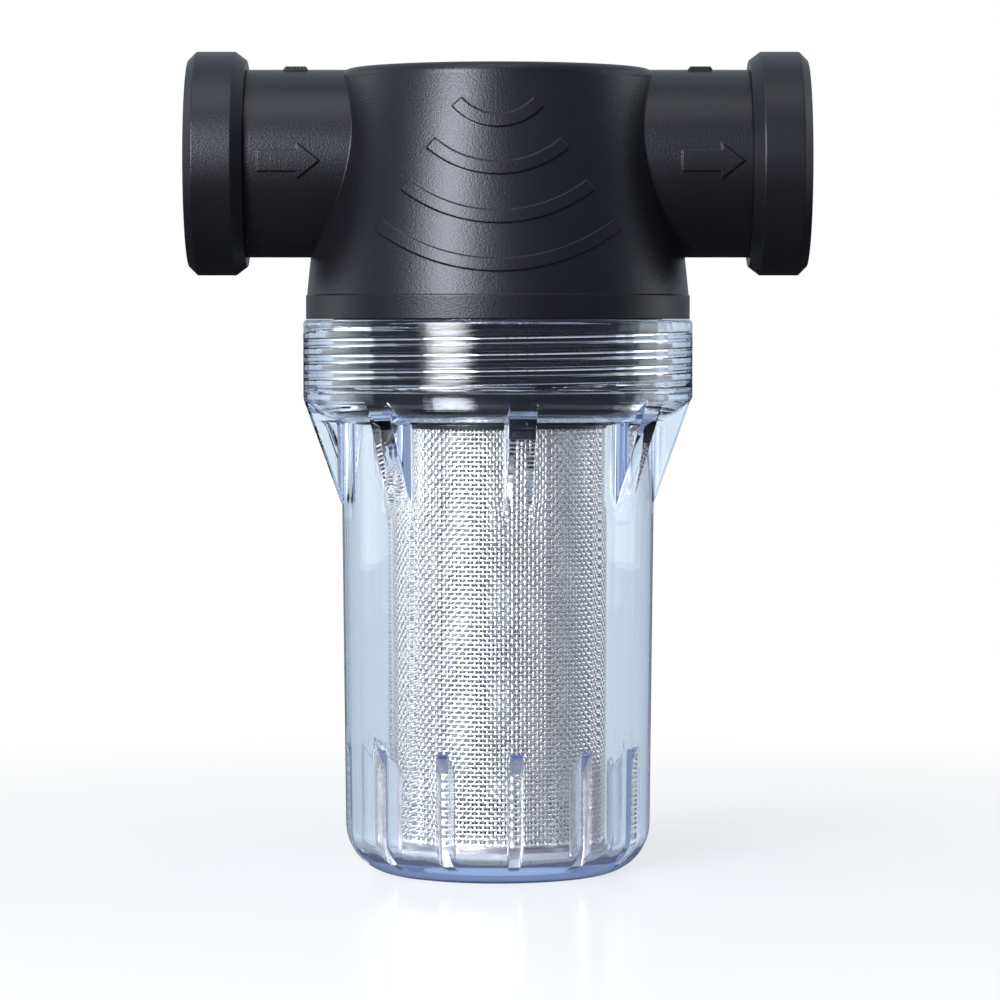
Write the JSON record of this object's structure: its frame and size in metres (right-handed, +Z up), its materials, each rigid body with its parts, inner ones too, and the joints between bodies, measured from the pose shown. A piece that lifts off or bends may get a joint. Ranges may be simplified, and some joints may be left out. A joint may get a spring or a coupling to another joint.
{
  "type": "inline sediment water filter",
  "caption": "Inline sediment filter: a moulded T-shaped head with two threaded ports, a clear screw-on bowl and a woven screen cartridge that slips over the outlet spigot.",
  "frame": {"origin": "centre of the bowl's foot, on the surface that it stands on", "axes": "+Z up the bowl's axis, +X along the ports in the flow direction from inlet to outlet, -Y out of the front with the raised arcs"},
  "size_m": [0.117, 0.0738, 0.1558],
  "materials": {
    "head_plastic": "fine moulded grain, charcoal black",
    "ring_plastic": "fine moulded grain, black",
    "bowl_clear": "clear moulded plastic, faint blue",
    "seal_rubber": "matte black",
    "pad_rubber": "grey",
    "screen_steel": "bright woven wire",
    "cap_steel": "spun satin",
    "cap_plastic": "satin black",
    "band_dark": "satin black"
  },
  "bodies": {
    "head": {"head_body": "head_plastic", "inlet_ring": "ring_plastic", "outlet_ring": "ring_plastic", "inlet_washer": "seal_rubber", "outlet_washer": "seal_rubber", "bowl_seal": "seal_rubber"},
    "cartridge": {"screen_mesh": "screen_steel", "screen_top_cap": "cap_plastic", "screen_top_band": "band_dark", "screen_top_seal": "seal_rubber", "screen_bottom_cap": "cap_steel", "screen_bottom_pad": "pad_rubber", "screen_hoop": "band_dark"},
    "bowl": {"bowl": "bowl_clear"}
  },
  "joints": [
    {"name": "cartridge_drop", "type": "slide", "parent": "head", "child": "cartridge", "axis": [0, 0, -1], "range_m": [0, 0.012]},
    {"name": "bowl_turn", "type": "hinge", "parent": "cartridge", "child": "bowl", "pos_m": [0, 0, 0.1], "axis": [0, 0, -1], "range_deg": [0, 1440]}
  ],
  "couplings": [
    {"joint": "cartridge_drop", "follows": "bowl_turn", "m_per_rad": 0.00047746}
  ]
}
